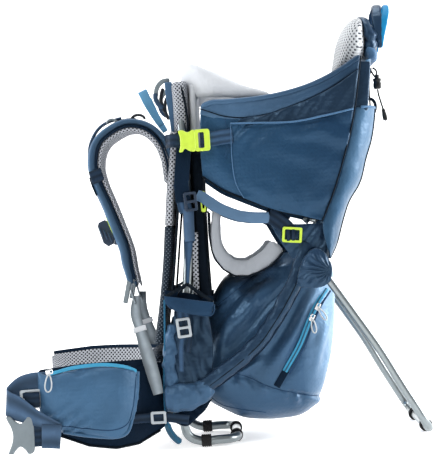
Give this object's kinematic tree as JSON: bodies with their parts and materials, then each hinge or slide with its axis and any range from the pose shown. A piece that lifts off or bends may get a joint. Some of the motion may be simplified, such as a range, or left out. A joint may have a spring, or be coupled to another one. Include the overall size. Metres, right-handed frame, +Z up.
{
  "type": "baby carrier backpack",
  "caption": "Framed backpack for carrying a small child, with a padded cockpit, leg openings, padded harness, hip belt, storage bag and a folding kickstand.",
  "frame": {"origin": "on the ground, under the middle of the carrier's footprint with the kickstand out and the hip belt forward", "axes": "+Z up, +X to the rear where the kickstand stands, so the wearer faces -X, and -Y is the wearer's left"},
  "size_m": [0.687, 0.412, 0.7192],
  "materials": {
    "aluminium_tube": "satin anodised tube",
    "rubber_grip": "matt ribbed rubber",
    "steel_fitting": "brushed",
    "black_plastic": "moulded, fine grain",
    "grey_plastic": "moulded",
    "lime_plastic": "moulded",
    "silver_plastic": "moulded, metallic paint",
    "blue_fabric": "woven, satin sheen",
    "navy_fabric": "woven, matt",
    "light_blue_fabric": "woven, matt",
    "grey_fabric": "soft brushed lining",
    "grey_mesh": "spacer mesh",
    "dark_mesh": "spacer mesh",
    "grey_webbing": "ribbed webbing"
  },
  "bodies": {
    "carrier": {"back_hoop": "aluminium_tube", "base_loop": "aluminium_tube", "rear_hoop": "aluminium_tube", "back_panel": "grey_mesh", "lumbar_pad": "dark_mesh", "rear_panel": "light_blue_fabric", "front_wall": "dark_mesh", "chin_pad": "grey_fabric", "seat_sling": "grey_fabric", "headrest": "grey_mesh", "storage_bag": "blue_fabric", "cord_lock_barrel": "black_plastic", "drawcord": "black_plastic", "side_tube_left": "aluminium_tube", "hinge_bracket_left": "steel_fitting", "base_grip_front_left": "rubber_grip", "base_grip_rear_left": "rubber_grip", "shoulder_pad_left": "blue_fabric", "shoulder_ladder_left": "silver_plastic", "shoulder_webbing_left": "grey_webbing", "cockpit_side_left": "blue_fabric", "leg_pad_left": "grey_fabric", "leg_strap_left": "light_blue_fabric", "boot_left": "navy_fabric", "stirrup_left": "navy_fabric", "side_socket_left": "lime_plastic", "side_tube_right": "aluminium_tube", "hinge_bracket_right": "steel_fitting", "base_grip_front_right": "rubber_grip", "base_grip_rear_right": "rubber_grip", "shoulder_pad_right": "blue_fabric", "shoulder_ladder_right": "silver_plastic", "shoulder_webbing_right": "grey_webbing", "cockpit_side_right": "blue_fabric", "leg_pad_right": "grey_fabric", "leg_strap_right": "light_blue_fabric", "boot_right": "navy_fabric", "stirrup_right": "navy_fabric", "side_socket_right": "lime_plastic"},
    "kickstand": {"kickstand": "aluminium_tube", "kick_grip_left": "rubber_grip", "kick_grip_right": "rubber_grip"},
    "hip_wing_left": {"hip_wing_left": "navy_fabric", "hip_pocket_left": "blue_fabric", "hip_webbing_left": "blue_fabric", "hip_buckle_socket": "grey_plastic"},
    "hip_zip_slider_left": {"hip_zip_slider_left": "steel_fitting"},
    "sternum_clip_left": {"sternum_clip_left": "lime_plastic"},
    "side_plug_left": {"side_plug_left": "lime_plastic"},
    "hip_wing_right": {"hip_wing_right": "navy_fabric", "hip_pocket_right": "blue_fabric", "hip_webbing_right": "blue_fabric", "hip_buckle_plug": "grey_plastic"},
    "hip_zip_slider_right": {"hip_zip_slider_right": "steel_fitting"},
    "sternum_clip_right": {"sternum_clip_right": "lime_plastic"},
    "side_plug_right": {"side_plug_right": "lime_plastic"},
    "bag_zip_slider_upper": {"bag_zip_slider_upper": "steel_fitting"},
    "bag_zip_slider_lower": {"bag_zip_slider_lower": "steel_fitting"},
    "handle": {"handle_loop": "navy_fabric"},
    "cord_lock_plunger": {"cord_lock_plunger": "black_plastic"}
  },
  "joints": [
    {"name": "kickstand_fold", "type": "hinge", "parent": "carrier", "child": "kickstand", "pos_m": [0.174, 0, 0.279], "axis": [0, 1, 0], "range_deg": [0, 50]},
    {"name": "hip_wing_left_swing", "type": "hinge", "parent": "carrier", "child": "hip_wing_left", "pos_m": [-0.118, -0.122, 0.09], "axis": [0, 0, 1], "range_deg": [-40, 9]},
    {"name": "hip_zip_left_slide", "type": "slide", "parent": "hip_wing_left", "child": "hip_zip_slider_left", "axis": [0.9952, 0.0977, 0], "range_m": [0, 0.095]},
    {"name": "sternum_clip_left_slide", "type": "slide", "parent": "carrier", "child": "sternum_clip_left", "axis": [-0.322, 0, 0.9467], "range_m": [-0.015, 0.015]},
    {"name": "side_buckle_left_release", "type": "slide", "parent": "carrier", "child": "side_plug_left", "axis": [1, 0, 0], "range_m": [0, 0.025]},
    {"name": "hip_wing_right_swing", "type": "hinge", "parent": "carrier", "child": "hip_wing_right", "pos_m": [-0.118, 0.122, 0.09], "axis": [0, 0, 1], "range_deg": [-9, 40]},
    {"name": "hip_zip_right_slide", "type": "slide", "parent": "hip_wing_right", "child": "hip_zip_slider_right", "axis": [0.9952, -0.0977, 0], "range_m": [0, 0.095]},
    {"name": "sternum_clip_right_slide", "type": "slide", "parent": "carrier", "child": "sternum_clip_right", "axis": [-0.322, 0, 0.9467], "range_m": [-0.015, 0.015]},
    {"name": "side_buckle_right_release", "type": "slide", "parent": "carrier", "child": "side_plug_right", "axis": [1, 0, 0], "range_m": [0, 0.025]},
    {"name": "bag_zip_upper_slide", "type": "slide", "parent": "carrier", "child": "bag_zip_slider_upper", "axis": [-0.5361, 0, -0.8442], "range_m": [-0.028, 0]},
    {"name": "bag_zip_lower_slide", "type": "slide", "parent": "carrier", "child": "bag_zip_slider_lower", "axis": [-0.5361, 0, -0.8442], "range_m": [0, 0.095]},
    {"name": "handle_fold", "type": "hinge", "parent": "carrier", "child": "handle", "pos_m": [0.304, 0, 0.64], "axis": [0, 1, 0], "range_deg": [0, 75]},
    {"name": "cord_lock_press", "type": "slide", "parent": "carrier", "child": "cord_lock_plunger", "axis": [0, 0, -1], "range_m": [0, 0.0035], "stiffness_N_per_m": 250}
  ]
}
